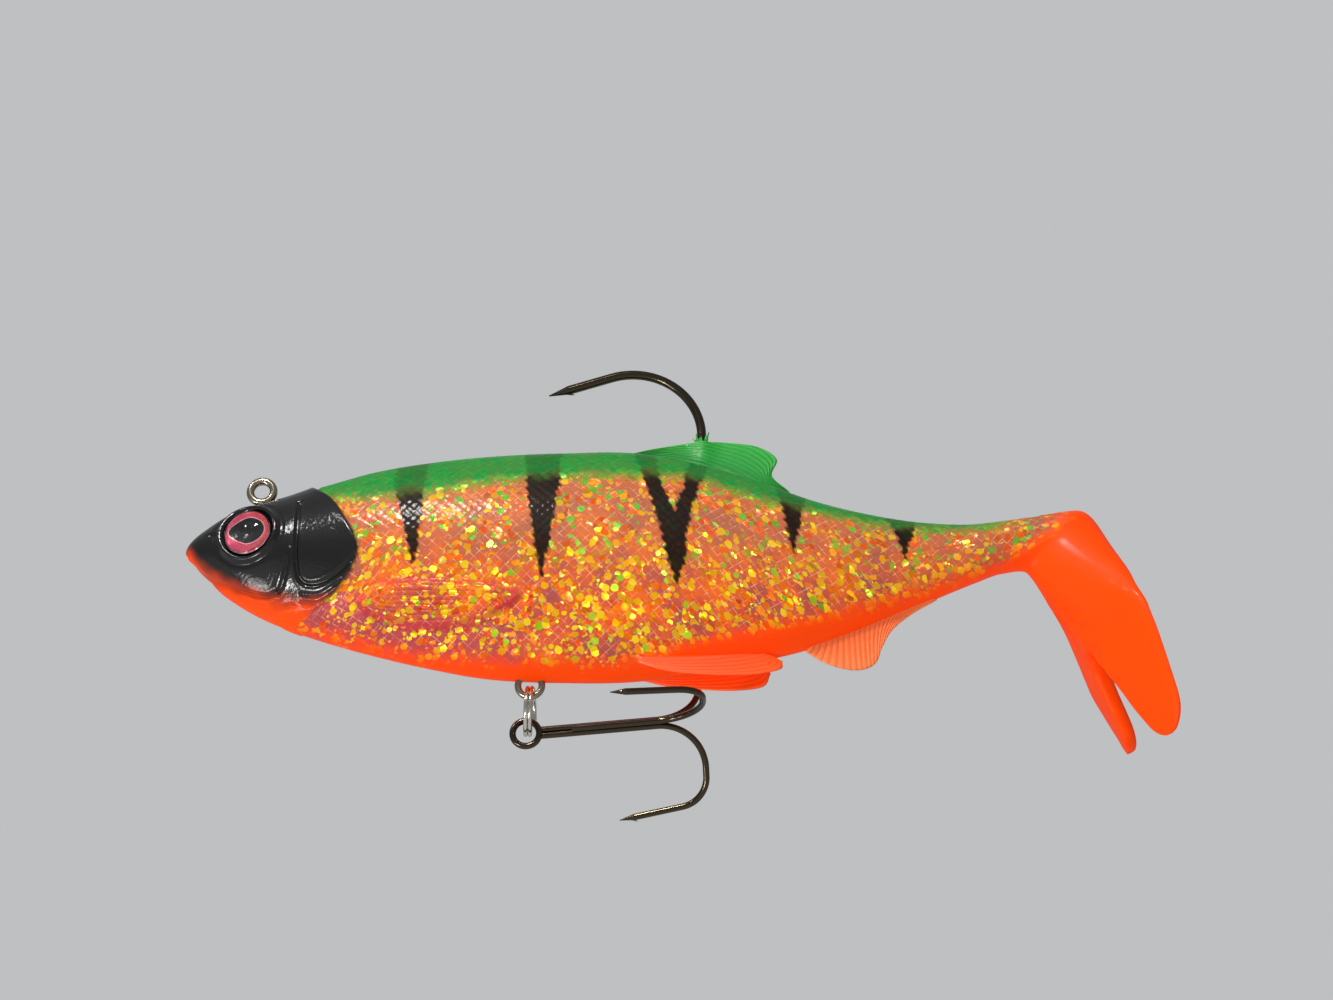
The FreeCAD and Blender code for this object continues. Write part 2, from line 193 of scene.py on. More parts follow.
def path_distance(x, z, path):
    """Distance in side view from each (x, z) to a smooth line through path."""
    k = np.arange(len(path), dtype=float)
    dense = curve(k, np.array(path, float), np.linspace(0, len(path) - 1, 10 * len(path)))
    best = np.full(x.shape, 1e9)
    for (ax, az), (bx, bz) in zip(dense[:-1], dense[1:]):
        dx, dz = bx - ax, bz - az
        t = np.clip(((x - ax) * dx + (z - az) * dz) / (dx * dx + dz * dz + 1e-12), 0, 1)
        best = np.minimum(best, np.hypot(x - ax - t * dx, z - az - t * dz))
    return best


def gill_depth(x, z):
    """How far a point lies ahead of the gill cover's rear edge; negative behind it."""
    return curve(GILL_EDGE_Z, GILL_EDGE_X, z) - x


def pectoral_mask(x, z):
    """How far a point lies inside the pectoral fin, and its share of the fin's height there."""
    top, low = curve(PECTORAL_X, PECTORAL_TOP, x), curve(PECTORAL_X, PECTORAL_LOW, x)
    inside = np.minimum(top - z, z - low)
    inside = np.minimum(inside, np.minimum(x - 18.8, 48.4 - x))
    return inside, (z - low) / np.maximum(top - low, 0.3)


def relief(x, z, girth):
    """Height of the sculpted detail above the hull; girth is the arc from the ridge."""
    height = np.zeros(x.shape)
    ahead = gill_depth(x, z)
    behind = step(ahead, 0.2, -0.5)
    # scales: a diamond net, each scale tilted so that its rear edge stands proud
    a, b = x / SCALE_PITCH, girth / SCALE_PITCH
    p, q = a + b, a - b
    fp, fq = p - np.floor(p), q - np.floor(q)
    dome = (np.abs(np.sin(math.pi * p)) * np.abs(np.sin(math.pi * q))) ** 0.5
    scale = 0.055 * dome + 0.035 * (fp + fq - 1)
    bare = step(z, curve(BELLY_EDGE_X, BELLY_EDGE_Z, x) - 2.2, curve(BELLY_EDGE_X, BELLY_EDGE_Z, x) + 0.8)
    bare = bare * step(x, 133, 124)
    leaf, share = pectoral_mask(x, z)
    height += scale * behind * bare * step(leaf, 0.4, 0.0)
    # pectoral fin: a low leaf with long rays
    height += 0.55 * step(leaf, -0.1, 0.8) + 0.20 * np.sin(share * 2 * math.pi * 10) * step(leaf, 0.2, 0.8)
    height -= 0.20 * np.exp(-((leaf + 0.35) / 0.35) ** 2)
    # gill cover and jaw
    flank = step(z, -29, -25)
    height += 0.55 * flank * step(ahead, -0.15, 0.35) * np.exp(-np.maximum(ahead, 0) / 5.0)
    height -= 0.22 * flank * np.exp(-((ahead + 0.45) / 0.35) ** 2)
    on_head = step(ahead, -0.2, 0.2)
    for path, depth, width in (
        (GILL_FRONT, 0.55, 0.30), (CHEEK_LINE, 0.40, 0.30), (JAW_LINE, 0.50, 0.32), (CHIN_LINE, 0.32, 0.30),
        (THROAT_LINE, 0.30, 0.26), (GILL_RAYS[0], 0.30, 0.26), (GILL_RAYS[1], 0.26, 0.26),
    ):
        d = path_distance(x, z, path)
        height -= depth * on_head * np.exp(-(d / width) ** 2)
        height += 0.10 * depth * on_head * np.exp(-((d - 2.4 * width) / (1.2 * width)) ** 2)
    # eye socket
    r = np.hypot(x - EYE[0], z - EYE[1])
    height += 0.62 * np.exp(-((r - 5.1) / 0.50) ** 2) * (1 + 0.35 * np.clip((z - EYE[1]) / 5, -1, 1))
    height -= 0.22 * np.exp(-((r - 6.2) / 0.40) ** 2)
    height -= 1.5 * step(r, 4.75, 4.35)
    # nostril
    height -= 0.4 * np.exp(-(np.hypot((x + 7.6) / 0.7, (z + 10.6) / 0.4)) ** 2)
    # lateral line
    lateral = curve([20, 50, 79, 115, 133], [-13.5, -17.5, -19.5, -14.7, -11.5], x)
    height -= 0.08 * np.exp(-((z - lateral) / 0.22) ** 2) * behind * step(x, 133, 126)
    return height


def bar_mask(x, z):
    """1 inside the black bars, with a wandering edge."""
    best = np.zeros(x.shape)
    wander = 0.42 * ripple(x, z)
    for bar in BARS:
        zs = np.array([r[0] for r in bar][::-1], float)
        left = np.interp(z, zs, [r[1] for r in bar][::-1])
        right = np.interp(z, zs, [r[2] for r in bar][::-1])
        inside = np.minimum(np.minimum(x - left, right - x), z - zs[0]) + wander
        best = np.maximum(best, step(inside, -0.25, 0.25))
    return best


def paint(x, z):
    """How much of each paint and tint every point carries, from 0 to 1.

    back is the green back, belly the orange belly, bar the black bars, head the painted head and chin the
    orange on its underside. rose tints the low flank behind the gill, and low rises down the flank.
    """
    wander = ripple(0.6 * x, 0.6 * z)
    back_edge = curve(BACK_EDGE_X, BACK_EDGE_Z, np.clip(x, 8, 150))
    back = step(z + 0.7 * wander, back_edge - 2.0, back_edge + 1.8) * step(x, 138, 129)
    belly_edge = curve(BELLY_EDGE_X, BELLY_EDGE_Z, np.clip(x, 2, 150))
    belly = step(z + 0.5 * wander, belly_edge + 1.9, belly_edge - 1.3)
    ahead = gill_depth(x, z)
    head = step(ahead + 0.12 * wander, -0.25, 0.15)
    black_edge = curve(BLACK_EDGE_X, BLACK_EDGE_Z, np.clip(x, -13, 20))
    chin = step(z + 0.3 * wander, black_edge + 1.7, black_edge - 2.3)
    rose = step(z + 0.9 * wander, belly_edge + 9.5, belly_edge + 3.5) * step(x, 66, 30)
    return {"back": back, "belly": belly, "bar": bar_mask(x, z) * (1 - head), "head": head, "chin": chin,
            "rose": rose, "low": step(z + 1.5 * wander, -11, -25)}


# ---- meshes -------------------------------------------------------------------------------------
def make_piece(name, points, faces, uv=None, attributes=None):
    """A smooth-shaded mesh from points in millimetres and faces of three or four corners."""
    mesh = bpy.data.meshes.new(name)
    sizes = np.array([len(f) for f in faces], np.int32)
    corners = np.concatenate([np.asarray(f, np.int32) for f in faces])
    mesh.vertices.add(len(points))
    mesh.vertices.foreach_set("co", (np.asarray(points, float) * MM).astype(np.float32).ravel())
    mesh.loops.add(len(corners))
    mesh.loops.foreach_set("vertex_index", corners)
    mesh.polygons.add(len(sizes))
    starts = np.concatenate([[0], np.cumsum(sizes)[:-1]]).astype(np.int32)
    mesh.polygons.foreach_set("loop_start", starts)
    mesh.update(calc_edges=True)
    mesh.polygons.foreach_set("use_smooth", np.ones(len(sizes), bool))
    if uv is not None:
        layer = mesh.uv_layers.new(name="skin")
        layer.data.foreach_set("uv", np.asarray(uv, np.float32)[corners].ravel())
    for key, values in (attributes or {}).items():
        attribute = mesh.attributes.new(key, "FLOAT", "POINT")
        attribute.data.foreach_set("value", np.asarray(values, np.float32).ravel())
    mesh.validate()
    obj = bpy.data.objects.new(name, mesh)
    bpy.context.scene.collection.objects.link(obj)
    return obj


def grid_faces(rows, columns, closed, offset=0, skip=None):
    """Quads of a rows x columns grid, closed round the columns or not."""
    k, j = np.meshgrid(np.arange(rows - 1), np.arange(columns if closed else columns - 1), indexing="ij")
    if skip is not None:
        keep = ~skip(k, j)
        k, j = k[keep], j[keep]
    k, j = k.ravel(), j.ravel()
    n = (j + 1) % columns
    quads = np.stack([k * columns + j, k * columns + n, (k + 1) * columns + n, (k + 1) * columns + j], 1)
    return list(quads + offset)


def full_loop(half, girth):
    """Left and right halves joined into rows that are closed round the body."""
    left = half * np.array([1, -1, 1])
    right = half[:, -2:0:-1, :]
    return np.concatenate([left, right], 1), np.concatenate([girth, -girth[:, -2:0:-1]], 1)


def skin_rows(xs):
    """Closed rows of the hull at each x, with the relief added, and their arcs."""
    half, girth = hull_rows(xs)
    points, arc = full_loop(half, girth)
    n = normals(points)
    x, z = points[..., 0], points[..., 2]
    return points + n * relief(x, z, arc)[..., None], arc


def skin_piece(name, xs, cap_front=False, cap_back=False):
    """A stretch of the painted hide, with its sculpted relief."""
    pad = np.concatenate([[max(xs[0] - STEP, NOSE_X + 0.002)], xs, [xs[-1] + STEP]])
    points, arc = skin_rows(pad)
    points, arc = points[1:-1], arc[1:-1]
    rows, columns = arc.shape
    faces = grid_faces(rows, columns, True)
    if cap_front:
        faces.append(np.arange(columns)[::-1])
    if cap_back:
        faces.append(np.arange(columns) + (rows - 1) * columns)
    x, z = np.repeat(xs, columns), points[..., 2].ravel()
    hide = paint(x, z)
    leaf, _ = pectoral_mask(x, z)
    hide["fin"] = step(np.abs(leaf - 0.1), 1.0, 0.2) + 0.5 * step(leaf, -0.2, 0.3) * step(x, 40, 46)
    flat = points.reshape(-1, 3)
    uv = np.stack([flat[:, 0], arc.ravel()], 1)
    return make_piece(name, flat, faces, uv, hide)


def build_skin():
    nose = NOSE_X + np.linspace(0.12, 2.0, 42) ** 2
    trunk = np.arange(nose[-1] + 0.24, SEAM_REAR, STEP)
    front = skin_piece("hide_front", np.concatenate([nose, trunk, [SEAM_REAR]]), cap_front=True)
    rear_x = np.linspace(SEAM_REAR, SEAM_TAIL, 84)
    rear = skin_piece("hide_rear", rear_x)
    return front, rear


# key rows of the tail, from the stem to the lobes' tips:
# front x, z; rear x, z; half width; inner half width; flatness; slope of the left wing; of the right
TAIL_ROWS = np.array([
    (133.25, -15.95, 133.25, -6.25, 4.3, 0.0, 2.0, 0.0, 0.0),
    (136.2, -15.45, 139.2, -5.3, 4.2, 0.0, 2.0, 0.0, 0.0),
    (137.6, -15.6, 144.8, -4.3, 4.2, 0.0, 2.0, 0.0, 0.0),
    (138.3, -16.2, 148.8, -4.3, 4.5, 0.0, 2.0, 0.1, 0.0),
    (139.3, -17.6, 151.2, -7.4, 5.4, 0.0, 2.0, 0.3, -0.05),
    (141.3, -20.7, 152.6, -12.8, 7.1, 0.0, 2.1, 0.5, -0.1),
    (143.9, -24.6, 153.3, -19.0, 9.3, 0.0, 2.1, 0.60, -0.1),
    (146.1, -28.0, 152.4, -24.4, 11.2, 0.0, 2.2, 0.63, -0.08),
    (147.6, -31.0, 151.8, -28.6, 12.3, 0.0, 2.3, 0.68, -0.04),
    (148.4, -33.2, 151.5, -31.4, 12.7, 0.9, 2.4, 0.70, 0.0),
    (149.6, -36.6, 152.1, -35.1, 13.0, 1.9, 2.5, 0.69, 0.02),
    (151.2, -40.4, 153.4, -39.1, 13.0, 2.9, 2.6, 0.64, 0.05),
    (152.8, -44.2, 154.9, -43.0, 13.0, 3.8, 2.7, 0.57, 0.08),
    (154.0, -47.0, 156.0, -45.9, 12.8, 4.7, 2.7, 0.53, 0.10),
    (154.8, -48.9, 156.6, -47.9, 12.2, 5.4, 2.7, 0.52, 0.10),
    (155.4, -50.2, 156.9, -49.4, 11.3, 6.4, 2.5, 0.50, 0.10),
    (155.7, -50.8, 156.8, -50.3, 10.2, 7.5, 2.2, 0.49, 0.10),
    (155.8, -51.0, 156.5, -50.7, 9.2, 8.5, 2.0, 0.49, 0.10),
])
NOTCH_ROW = 8
TAIL_DETAIL, TAIL_LOOP = 9, 56
RIGHT_LOBE_LENGTH = 0.82         # of the left lobe's
LOBE_EDGE = 1.2                  # how far the rounding of a lobe's inner edge reaches
RIB_HEIGHT, RIB_PITCH = 0.20, 0.85


def tail_half(side):
    """Points and faces of one half of the tail; side is -1 for the left."""
    keys = len(TAIL_ROWS)
    at = np.linspace(0, keys - 1, (keys - 1) * TAIL_DETAIL + 1)
    rows = curve(np.arange(keys, dtype=float), TAIL_ROWS, at)
    fx, fz, rx, rz, half, inner, power, left_slope, right_slope = rows.T.copy()
    inner = np.where(at <= NOTCH_ROW, 0, np.maximum(inner, 0))
    edge = np.minimum(LOBE_EDGE, 0.5 * (half - inner)) * step(at, NOTCH_ROW, NOTCH_ROW + 0.6)
    core = np.where(at <= NOTCH_ROW, 0, inner + edge)
    slope = left_slope if side < 0 else right_slope
    if side > 0:
        notch_row = TAIL_ROWS[NOTCH_ROW]
        for line, from_notch in zip((fx, fz, rx, rz), notch_row):
            line[:] = np.where(at > NOTCH_ROW, from_notch + RIGHT_LOBE_LENGTH * (line - from_notch), line)
    phi = np.linspace(0, 2 * math.pi, 2 * TAIL_LOOP, endpoint=False)[None, :]
    c, s = np.cos(phi), np.sin(phi)
    e = 2 / power[:, None]
    depth = (1 - np.sign(c) * np.abs(c) ** e) / 2
    span = np.where(s >= 0, (half - core)[:, None], (core - inner)[:, None])
    y = core[:, None] + span * np.sign(s) * np.abs(s) ** e
    back = slope[:, None] * (np.sqrt(y ** 2 + 4) - 2)
    ux, uz = rx - fx, rz - fz
    size = np.hypot(ux, uz)
    ux, uz = ux / size, uz / size
    reach = depth * size[:, None] + back
    ribs = RIB_HEIGHT * np.cos(y * 2 * math.pi / RIB_PITCH) * step(y, 4.2, 2.6) * step(at, 4.6, 6.0)[:, None]
    ribs = ribs * step(at, NOTCH_ROW + 2.5, NOTCH_ROW + 1.0)[:, None] * step(depth, 0.35, 0.1)
    reach = reach - ribs
    x = fx[:, None] + reach * ux[:, None]
    z = fz[:, None] + reach * uz[:, None]
    points = np.stack([x, side * y, z], 2)
    gaps = np.linalg.norm(np.diff(points[:, :TAIL_LOOP + 1], axis=1), axis=2)
    arc = np.zeros(x.shape)
    arc[:, :TAIL_LOOP] = np.cumsum(gaps[:, ::-1], axis=1)[:, ::-1]
    arc[:, TAIL_LOOP + 1:] = arc[:, TAIL_LOOP - 1:0:-1]
    notch = int(np.searchsorted(at, NOTCH_ROW))

    def inside(k, j):
        return (k < notch) & (j >= TAIL_LOOP)

    faces = grid_faces(len(at), 2 * TAIL_LOOP, True, skip=inside)
    tip = (len(at) - 1) * 2 * TAIL_LOOP
    faces.append(np.arange(2 * TAIL_LOOP) + tip)
    if side > 0:
        faces = [f[::-1] for f in faces]
    return points.reshape(-1, 3), faces, np.repeat(at, 2 * TAIL_LOOP), -side * arc.ravel()


def build_tail():
    left, left_faces, left_at, left_arc = tail_half(-1)
    right, right_faces, right_at, right_arc = tail_half(1)
    points = np.concatenate([left, right])
    faces = left_faces + [f + len(left) for f in right_faces]
    at = np.concatenate([left_at, right_at])
    x, z = points[:, 0], points[:, 2]
    solid = step(x - 0.35 * (z + 10), 139, 147) + step(at, 3.2, 4.6)
    hide = paint(x, z)
    hide["belly"] = np.clip(np.maximum(solid, hide["belly"]), 0, 1)
    hide["fin"] = step(x, 142, 148) * step(z, -10, -5)
    arc = np.concatenate([left_arc, right_arc])
    obj = make_piece("hide_tail", points, faces, np.stack([x, arc], 1), hide)
    weld(obj)
    return obj


def weld(obj, distance=0.004):
    """Joins points that coincide and drops any that no face uses."""
    work = bmesh.new()
    work.from_mesh(obj.data)
    bmesh.ops.remove_doubles(work, verts=work.verts, dist=distance * MM)
    loose = [v for v in work.verts if not v.link_faces]
    bmesh.ops.delete(work, geom=loose, context="VERTS")
    bmesh.ops.recalc_face_normals(work, faces=work.faces)
    work.to_mesh(obj.data)
    work.free()


def fin_mesh(name, base, edge, thick, lip, ray, rows, columns, centre=None):
    """A thin fin between a base line and an outer edge, both lists of (x, z); ray adds relief.

    thick and lip are its half thickness at the root and at the edge, and centre gives its sideways place.
    """
    s = np.linspace(0, 1, rows)
    root = curve(np.linspace(0, 1, len(base)), np.array(base, float), s)
    rim = curve(np.linspace(0, 1, len(edge)), np.array(edge, float), s)
    j = np.linspace(0, 1, columns) ** 0.85
    flat = root[:, None, :] + (rim - root)[:, None, :] * j[None, :, None]
    half = (lip + (thick - lip) * (1 - j) ** 1.5) * np.sqrt(np.clip(1 - j ** 14, 0, 1))
    ends = np.sqrt(np.clip(1 - np.abs(2 * s - 1) ** 24, 0.02, 1))[:, None]
    away_from_edges = step(j, 0.02, 0.2) * step(j, 1.0, 0.93)
    half = half[None, :] * ends + ray(s[:, None], j[None, :]) * away_from_edges[None, :]
    points = np.concatenate([
        np.stack([flat[..., 0], -half, flat[..., 1]], 2),
        np.stack([flat[..., 0], half, flat[..., 1]], 2)[:, ::-1],
    ], 1)
    if centre is not None:
        points[..., 1] += centre(points[..., 0], points[..., 2])
    loop = 2 * columns
    faces = grid_faces(rows, loop, True)
    faces.append(np.arange(loop)[::-1])
    faces.append(np.arange(loop) + (rows - 1) * loop)
    points = points.reshape(-1, 3)
    share = np.tile(np.concatenate([j, j[::-1]]), rows)
    obj = make_piece(name, points, faces, points[:, [0, 2]], {"rim": share, "run": np.repeat(s, loop)})
    weld(obj, 0.001)
    return obj


DORSAL_RAY, FINE_RAY = 0.11, 0.05     # height of the rays on the fins


def dorsal_relief(s, j):
    """Long rays, and the swelling round the hook where it leaves the fin's top."""
    rays = DORSAL_RAY * np.sin(2 * math.pi * (9 * j + 5 * s))
    return rays + 0.95 * np.exp(-((s - 0.49 + 0.115 * j) / 0.045) ** 2) * j


def anal_relief(s, j):
    """Rays that run from the anal fin's root to its edge."""
    return FINE_RAY * np.sin(2 * math.pi * (24 * s + 1.5 * j))


def pelvic_relief(s, j):
    """Rays that run along a pelvic fin."""
    return FINE_RAY * np.sin(2 * math.pi * (6 * j + s))


def pelvic_lean(side, x, z):
    """Sideways place of a pelvic fin: the left one spreads outwards, the right one hangs down."""
    root_z = -34.3 + 0.092 * (x - 68)
    if side < 0:
        return side * (4.0 - 0.125 * (x - 68) + 0.55 * (root_z - z))
    return side * (2.2 + 0.25 * (z + 37.4))


def build_fins():
    """The dorsal, anal and pelvic fins by name; each root follows the hull a little inside it."""
    pieces = {}
    top = [(x, float(profile(np.array([x]))[0][0]) - 0.7) for x in np.linspace(65.0, 95.4, 9)]
    pieces["fin_dorsal"] = fin_mesh(
        "fin_dorsal", top,
        [(65.4, 7.2), (70, 8.4), (75, 9.4), (80, 10.1), (85.5, 9.9), (90.5, 9.0), (93.6, 6.6), (92.7, 3.2),
         (95.8, 0.0)],
        1.5, 0.35, dorsal_relief, rows=150, columns=60)
    low = [(x, float(profile(np.array([x]))[1][0]) + 0.6) for x in np.linspace(98.2, 121.4, 9)]
    pieces["fin_anal"] = fin_mesh(
        "fin_anal", low,
        [(98.0, -31.2), (101.6, -33.4), (105.6, -34.6), (108.6, -34.4), (110.5, -33.0), (111.6, -30.2),
         (113.6, -26.9), (117.2, -23.9), (121.6, -21.3)],
        0.9, 0.28, anal_relief, rows=200, columns=24)
    pelvic = {
        "left": ([(68.0, -33.9), (74, -33.5), (80, -33.0), (86, -32.2), (91, -31.6)],
                 [(68.4, -34.9), (74, -36.7), (80, -37.3), (88, -37.0), (93.2, -35.6), (93.8, -33.6)]),
        "right": ([(68.0, -34.6), (74, -34.4), (80, -33.7), (86, -32.6), (91, -31.7)],
                  [(68.0, -35.2), (73, -36.7), (79, -37.4), (85, -37.7), (90.4, -36.9), (91.9, -34.2)]),
    }
    for side, word in ((-1, "left"), (1, "right")):
        name = f"fin_pelvic_{word}"
        pieces[name] = fin_mesh(
            name, *pelvic[word], 0.9, 0.3, pelvic_relief, rows=90, columns=24,
            centre=lambda x, z, side=side: pelvic_lean(side, x, z))
    return pieces


SHREDS = 13


def build_torn_lip():
    """Ragged shreds of plastic where the hook's bend breaks out of the dorsal fin."""
    random = np.random.default_rng(11)
    points, faces = [], []
    for k in range(SHREDS):
        around = 2 * math.pi * k / SHREDS + random.uniform(-0.2, 0.2)
        out = np.array([math.cos(around), math.sin(around), 0])
        across = np.array([-math.sin(around), math.cos(around), 0])
        tall, wide, lean = random.uniform(0.5, 2.1), random.uniform(0.25, 0.55), random.uniform(0.2, 1.3)
        start = len(points)
        for level in (0.0, 0.35, 0.7, 1.0):
            centre = np.array(HOOK_EXIT) + out * (0.95 + lean * level ** 1.6 * 0.7)
            centre = centre + [0, 0, tall * level - 0.3]
            half, thick = wide * (1 - 0.9 * level), 0.16 * (1 - 0.6 * level)
            for a, b in ((-1, -1), (1, -1), (1, 1), (-1, 1)):
                points.append(centre + across * (half * a) + out * (thick * b))
        faces += list(grid_faces(4, 4, True, start))
        faces += [np.array([3, 2, 1, 0]) + start, np.array([12, 13, 14, 15]) + start]
    points = np.array(points)
    share = np.full(len(points), 0.7)
    return make_piece("torn_lip", points, faces, points[:, [0, 2]], {"rim": share, "run": share})


# ---- eyes ---------------------------------------------------------------------------------------
EYE_CENTRE, EYE_R, LENS_H = (-0.8, -6.3, -11.1), 4.3, 1.3
EYE_YAW, EYE_ROLL = -13.0, -4.0


def lathe(name, profile_points, segments, place, uv_scale=1.0):
    """Turns (radius, height) points round the local -Y axis and places the result."""
    r = np.array([p[0] for p in profile_points])
    h = np.array([p[1] for p in profile_points])
    a = np.linspace(0, 2 * math.pi, segments, endpoint=False)
    x = r[:, None] * np.cos(a)[None, :]
    z = r[:, None] * np.sin(a)[None, :]
    y = np.repeat(-h[:, None], segments, 1)
    local = np.stack([x, y, z], 2).reshape(-1, 3)
    faces = grid_faces(len(r), segments, True)
    faces.append(np.arange(segments)[::-1])
    faces.append(np.arange(segments) + (len(r) - 1) * segments)
    points = np.array([place @ Vector(p) for p in local])
    obj = make_piece(name, points, faces, local[:, [0, 2]] * uv_scale)
    weld(obj, 0.001)
    return obj


def eye_place(side):
    """Matrix from the eye's own frame to the row frame; side is -1 for the left."""
    turn = Matrix.Rotation(math.radians(EYE_ROLL), 4, "X") @ Matrix.Rotation(math.radians(EYE_YAW), 4, "Z")
    place = Matrix.Translation(Vector(EYE_CENTRE)) @ turn
    return Matrix.Diagonal((1, -side, 1, 1)) @ place


def build_eye(side, word):
    """A shallow iris disc and the domed lens over it; side is -1 for the left."""
    place = eye_place(side)
    iris = [(0.02, 0.02), (EYE_R - 0.1, 0.02), (EYE_R - 0.02, 0.10), (EYE_R - 0.02, 0.42),
            (EYE_R - 0.12, 0.5), (3.4, 0.46), (2.2, 0.38), (1.0, 0.33), (0.02, 0.32)]
    disc = lathe(f"iris_disc_{word}", iris, 96, place)
    dome_r = (EYE_R ** 2 + LENS_H ** 2) / (2 * LENS_H)
    lens = [(0.02, 0.51), (EYE_R - 0.06, 0.51)]
    for t in np.linspace(0, 1, 22):
        angle = math.asin(EYE_R / dome_r) * (1 - t)
        height = 0.55 + dome_r * math.cos(angle) - (dome_r - LENS_H)
        lens.append((max(dome_r * math.sin(angle), 0.02), height))
    dome = lathe(f"lens_dome_{word}", lens, 96, place)
    return disc, dome


# ---- materials ----------------------------------------------------------------------------------
def linear(r, g, b):
    """Linear colour from 0-255 display values."""
    def one(c):
        c = c / 255
        return c / 12.92 if c <= 0.04045 else ((c + 0.055) / 1.055) ** 2.4
    return (one(r), one(g), one(b), 1.0)


# direction of a hexagon's slanting side
HEX_COS, HEX_SIN = math.cos(math.radians(60)), math.sin(math.radians(60))


class Shader:
    """Small helper that builds one node material."""

    def __init__(self, name):
        self.material = bpy.data.materials.new(name)
        self.material.use_nodes = True
        self.tree = self.material.node_tree
        self.tree.nodes.clear()
        self.out = self.add("ShaderNodeOutputMaterial")
        self.bsdf = self.add("ShaderNodeBsdfPrincipled")
        self.tree.links.new(self.bsdf.outputs[0], self.out.inputs[0])

    def add(self, kind, **settings):
        node = self.tree.nodes.new(kind)
        for key, value in settings.items():
            setattr(node, key, value)
        return node

    def put(self, socket, value):
        if isinstance(value, bpy.types.NodeSocket):
            self.tree.links.new(value, socket)
        else:
            socket.default_value = value

    def set(self, **values):
        for key, value in values.items():
            self.put(self.bsdf.inputs[key.replace("_", " ")], value)

    def math(self, operation, a, b=0.0, c=0.0, clamp=False):
        node = self.add("ShaderNodeMath", operation=operation, use_clamp=clamp)
        for socket, value in zip(node.inputs, (a, b, c)):
            self.put(socket, value)
        return node.outputs[0]

    def vector(self, operation, a, b=(0, 0, 0), scale=1.0):
        node = self.add("ShaderNodeVectorMath", operation=operation)
        self.put(node.inputs[0], a)
        self.put(node.inputs[1], b)
        if operation == "SCALE":
            self.put(node.inputs["Scale"], scale)
        return node.outputs[0]

    def mix(self, amount, a, b):
        node = self.add("ShaderNodeMix", data_type="RGBA")
        self.put(node.inputs[0], amount)
        self.put(node.inputs[6], a)
        self.put(node.inputs[7], b)
        return node.outputs[2]

    def blend(self, amount, a, b):
        node = self.add("ShaderNodeMix", data_type="FLOAT")
        self.put(node.inputs[0], amount)
        self.put(node.inputs[2], a)
        self.put(node.inputs[3], b)
        return node.outputs[0]

    def attribute(self, name):
        return self.add("ShaderNodeAttribute", attribute_name=name).outputs["Fac"]

    def uv(self):
        return self.add("ShaderNodeUVMap", uv_map="skin").outputs[0]

    def ramp(self, value, stops, constant=False):
        node = self.add("ShaderNodeValToRGB")
        node.color_ramp.interpolation = "CONSTANT" if constant else "LINEAR"
        while len(node.color_ramp.elements) < len(stops):
            node.color_ramp.elements.new(0.5)
        for element, (at, colour) in zip(node.color_ramp.elements, stops):
            element.position = at
            element.color = colour
        self.put(node.inputs[0], value)
        return node.outputs[0]

    def noise(self, vector, scale, detail=2.0, roughness=0.5):
        node = self.add("ShaderNodeTexNoise")
        self.put(node.inputs["Vector"], vector)
        node.inputs["Scale"].default_value = scale
        node.inputs["Detail"].default_value = detail
        node.inputs["Roughness"].default_value = roughness
        return node.outputs["Fac"]

    def bump(self, height, strength, distance):
        node = self.add("ShaderNodeBump")
        self.put(node.inputs["Height"], height)
        self.put(node.inputs["Strength"], strength)
        node.inputs["Distance"].default_value = distance
        return node.outputs[0]

    def flakes(self, uv, pitch, radius, share, shift):
        """One layer of hexagonal flakes: its mask, a random colour and a random number per flake."""
        at = self.vector("ADD", self.vector("SCALE", uv, scale=1 / pitch), (shift, 0.37 * shift, 0))
        cells = self.add("ShaderNodeTexVoronoi", voronoi_dimensions="2D", feature="F1")
        self.put(cells.inputs["Vector"], at)
        cells.inputs["Scale"].default_value = 1.0
        away = self.vector("SUBTRACT", at, cells.outputs["Position"])
        luck = self.add("ShaderNodeSeparateColor")
        self.put(luck.inputs[0], cells.outputs["Color"])
        turn = self.add("ShaderNodeVectorRotate", rotation_type="Z_AXIS")
        self.put(turn.inputs["Vector"], away)
        self.put(turn.inputs["Angle"], self.math("MULTIPLY", luck.outputs[0], math.tau))
        parts = self.add("ShaderNodeSeparateXYZ")
        self.put(parts.inputs[0], turn.outputs[0])
        ax, ay = self.math("ABSOLUTE", parts.outputs[0]), self.math("ABSOLUTE", parts.outputs[1])
        slant = self.math("ADD", self.math("MULTIPLY", ax, HEX_COS), self.math("MULTIPLY", ay, HEX_SIN))
        inside = self.math("LESS_THAN", self.math("MAXIMUM", ax, slant), radius / pitch)
        chosen = self.math("LESS_THAN", luck.outputs[1], share)
        return self.math("MULTIPLY", inside, chosen), cells.outputs["Color"], luck.outputs[2]


ORANGE = linear(255, 70, 0)
GREEN = linear(0, 132, 54)


def scale_net(m, uv):
    """1 on the thin lines between scales."""
    parts = m.add("ShaderNodeSeparateXYZ")
    m.put(parts.inputs[0], m.vector("SCALE", uv, scale=1 / SCALE_PITCH))
    net = 0.0
    for sign in (1.0, -1.0):
        cross = m.math("FRACT", m.math("ADD", parts.outputs[0], m.math("MULTIPLY", parts.outputs[1], sign)))
        off = m.math("ABSOLUTE", m.math("SUBTRACT", cross, 0.5))
        net = m.math("MAXIMUM", net, m.math("GREATER_THAN", off, 0.46))
    return net


